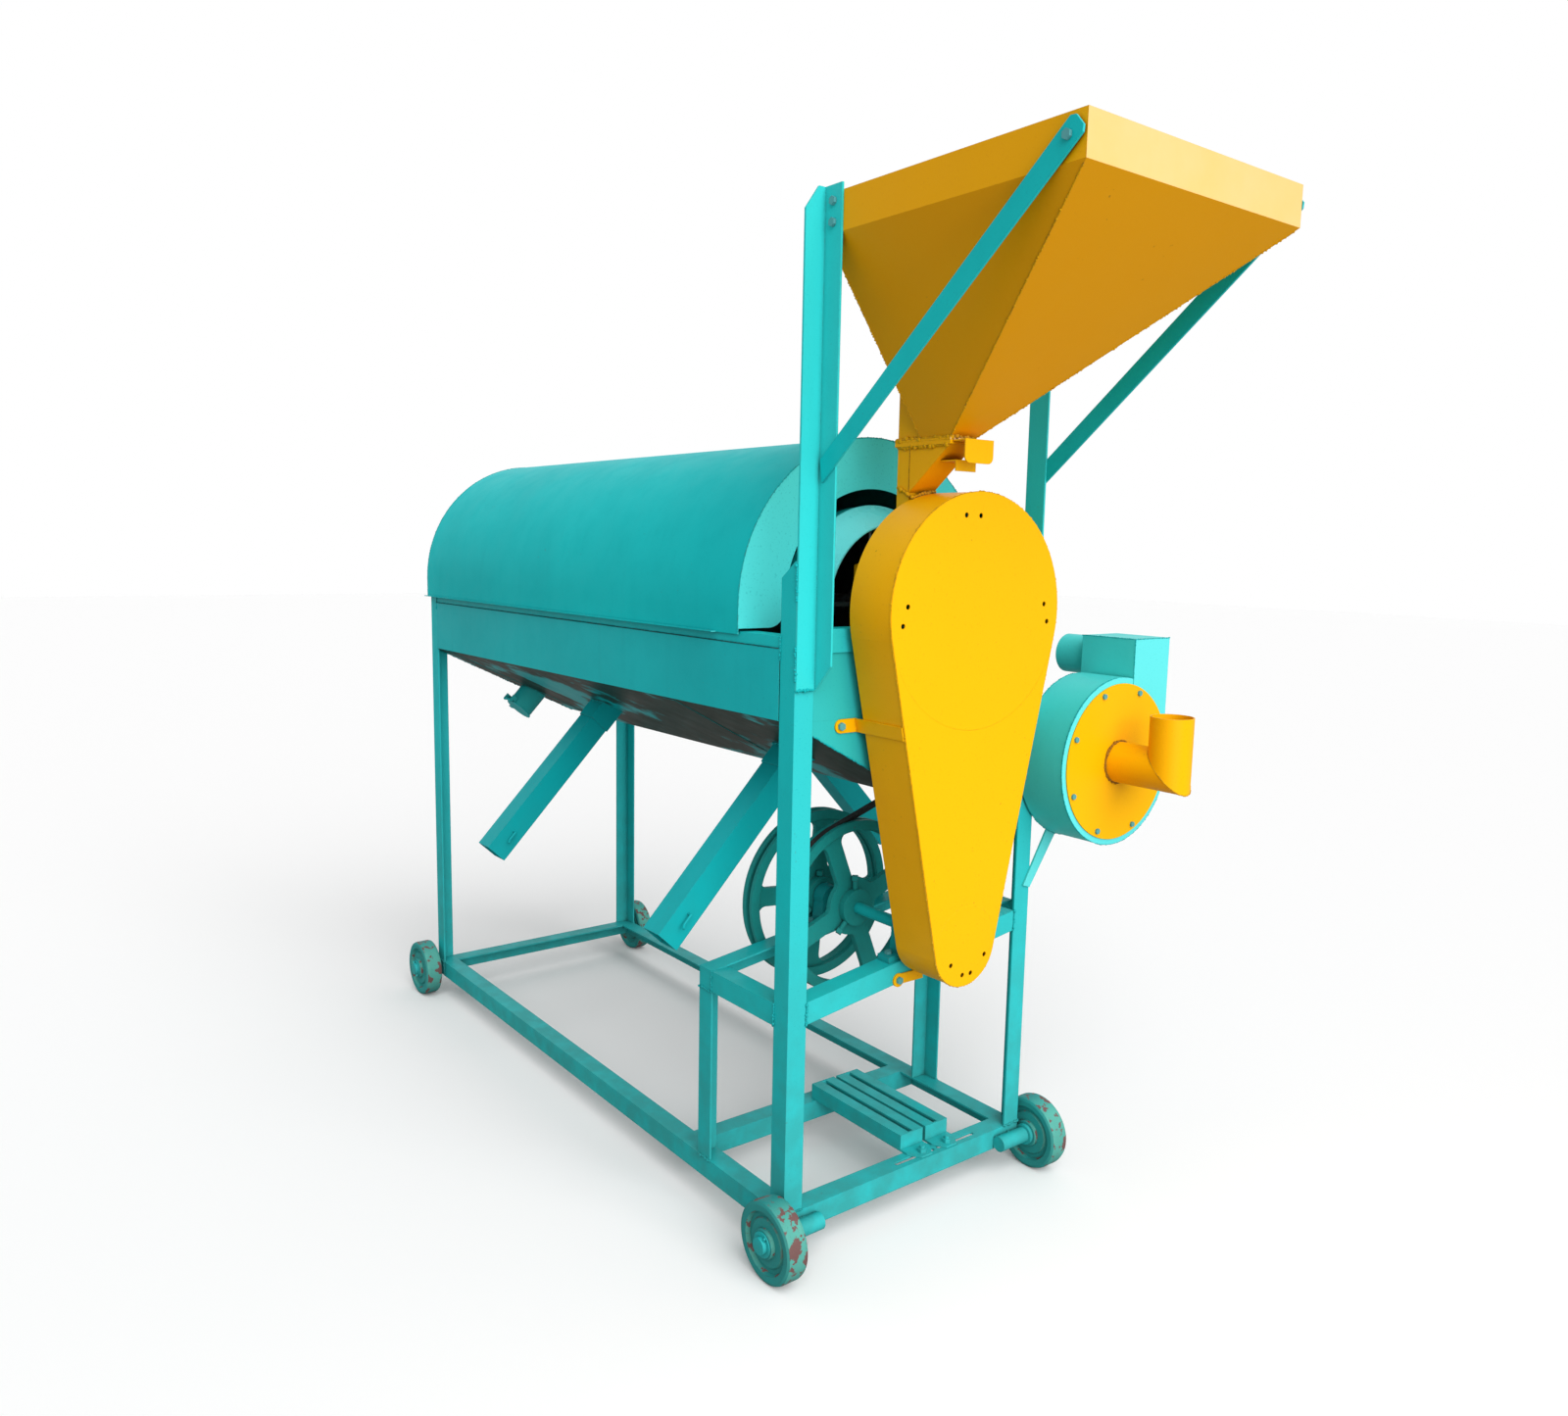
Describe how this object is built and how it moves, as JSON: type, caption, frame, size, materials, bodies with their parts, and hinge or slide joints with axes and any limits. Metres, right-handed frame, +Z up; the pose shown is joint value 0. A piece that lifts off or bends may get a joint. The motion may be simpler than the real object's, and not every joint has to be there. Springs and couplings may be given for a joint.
{
  "type": "seed cleaner grader",
  "caption": "Wheeled seed grader: a rotary screen drum under a half-round hood over a V-shaped trough with chutes, square hopper, belt guard, blower and belt drive on an angle-iron frame",
  "frame": {"origin": "on the floor, under the middle of the bounding box", "axes": "+X along the machine towards the hopper, the drive and the blower; -Y the side with two chutes; +Z up"},
  "size_m": [2.727, 1.2805, 2.267],
  "materials": {
    "teal_paint": "glossy sprayed teal enamel with chips and runs",
    "trough_paint": "teal enamel, dull and stained on the underside",
    "teal_casting": "teal enamel on rough cast iron",
    "bearing_casting": "teal enamel oversprayed on a bearing housing",
    "wheel_casting": "teal enamel worn to primer on the tread",
    "yellow_paint": "glossy sprayed yellow enamel",
    "bare_steel": "turned steel with a film of oil",
    "screen_steel": "perforated sheet, zinc grey",
    "fastener_steel": "zinc-plated bolts, partly painted over",
    "belt_rubber": "black V-belt with a fabric cover"
  },
  "bodies": {
    "frame": {"leg_near_front": "teal_paint", "leg_near_rear": "teal_paint", "leg_far_front": "teal_paint", "leg_far_rear": "teal_paint", "base_near": "teal_paint", "base_far": "teal_paint", "base_front": "teal_paint", "base_rear": "teal_paint", "base_cross": "teal_paint", "post_near": "teal_paint", "post_far": "teal_paint", "sub_near_rail": "teal_paint", "sub_far_rail": "teal_paint", "sub_front_rail": "teal_paint", "sub_rear_rail": "teal_paint", "top_near": "teal_paint", "top_far": "teal_paint", "top_front": "teal_paint", "top_rear": "teal_paint", "upright_near": "teal_paint", "upright_far": "teal_paint", "hopper_braces": "teal_paint", "axle_stubs": "teal_paint", "wheel_retainers": "teal_paint", "hopper": "yellow_paint", "gate_frame": "yellow_paint", "feed_chute": "yellow_paint", "guard_band": "yellow_paint", "guard_plate": "yellow_paint", "guard_straps": "yellow_paint", "drum_belt": "belt_rubber", "drum_bearings": "bearing_casting", "pillow_blocks": "bearing_casting", "blower_belt": "belt_rubber", "trough": "trough_paint", "chute_near_front": "teal_paint", "chute_near_rear": "teal_paint", "chute_far": "teal_paint", "blower_housing": "teal_paint", "blower_cover": "yellow_paint", "fasteners": "fastener_steel"},
    "drum": {"drum_shaft": "bare_steel", "drum_rings": "teal_paint", "drum_screens": "screen_steel", "drum_cone": "teal_paint", "drum_pulley": "teal_casting"},
    "lay": {"lay_shaft": "teal_paint", "lay_pulley": "teal_casting", "idle_pulley": "teal_casting", "small_pulley": "bare_steel"},
    "rotor": {"blower_rotor": "bare_steel"},
    "gate": {"slide_gate": "yellow_paint"},
    "flap": {"drain_flap": "teal_paint"},
    "cover": {"hood": "teal_paint"},
    "rail_a": {"motor_rail_a": "teal_paint"},
    "rail_b": {"motor_rail_b": "teal_paint"},
    "roller_near_front": {"wheel_near_front": "wheel_casting"},
    "roller_near_rear": {"wheel_near_rear": "wheel_casting"},
    "roller_far_front": {"wheel_far_front": "wheel_casting"},
    "roller_far_rear": {"wheel_far_rear": "wheel_casting"}
  },
  "joints": [
    {"name": "drum_spin", "type": "hinge", "parent": "frame", "child": "drum", "pos_m": [-0.2645, -0.08772, 1.4375], "axis": [1, 0, 0], "continuous": true},
    {"name": "lay_spin", "type": "hinge", "parent": "frame", "child": "lay", "pos_m": [0.5355, -0.09972, 0.701], "axis": [1, 0, 0], "continuous": true},
    {"name": "rotor_spin", "type": "hinge", "parent": "frame", "child": "rotor", "pos_m": [0.6355, 0.43428, 1.063], "axis": [1, 0, 0], "continuous": true},
    {"name": "gate_slide", "type": "slide", "parent": "frame", "child": "gate", "axis": [1, 0, 0], "range_m": [0, 0.09]},
    {"name": "flap_hinge", "type": "hinge", "parent": "frame", "child": "flap", "pos_m": [-0.9995, -0.30956, 1.04987], "axis": [-1, 0, 0], "range_deg": [0, 80]},
    {"name": "hood_lift", "type": "slide", "parent": "frame", "child": "cover", "axis": [0, 0, 1], "range_m": [0, 0.35]},
    {"name": "rail_a_slide", "type": "slide", "parent": "frame", "child": "rail_a", "axis": [0, 1, 0], "range_m": [-0.08, 0]},
    {"name": "rail_b_slide", "type": "slide", "parent": "frame", "child": "rail_b", "axis": [0, 1, 0], "range_m": [0, 0.08]},
    {"name": "roll_near_front", "type": "hinge", "parent": "frame", "child": "roller_near_front", "pos_m": [0.7445, -0.50572, 0.09], "axis": [0, 1, 0], "continuous": true},
    {"name": "roll_near_rear", "type": "hinge", "parent": "frame", "child": "roller_near_rear", "pos_m": [-1.2735, -0.50572, 0.09], "axis": [0, 1, 0], "continuous": true},
    {"name": "roll_far_front", "type": "hinge", "parent": "frame", "child": "roller_far_front", "pos_m": [0.7445, 0.33028, 0.09], "axis": [0, 1, 0], "continuous": true},
    {"name": "roll_far_rear", "type": "hinge", "parent": "frame", "child": "roller_far_rear", "pos_m": [-1.2735, 0.33028, 0.09], "axis": [0, 1, 0], "continuous": true}
  ],
  "couplings": [
    {"joint": "lay_spin", "follows": "drum_spin", "ratio": 4.7778},
    {"joint": "rotor_spin", "follows": "drum_spin", "ratio": 22.827}
  ]
}
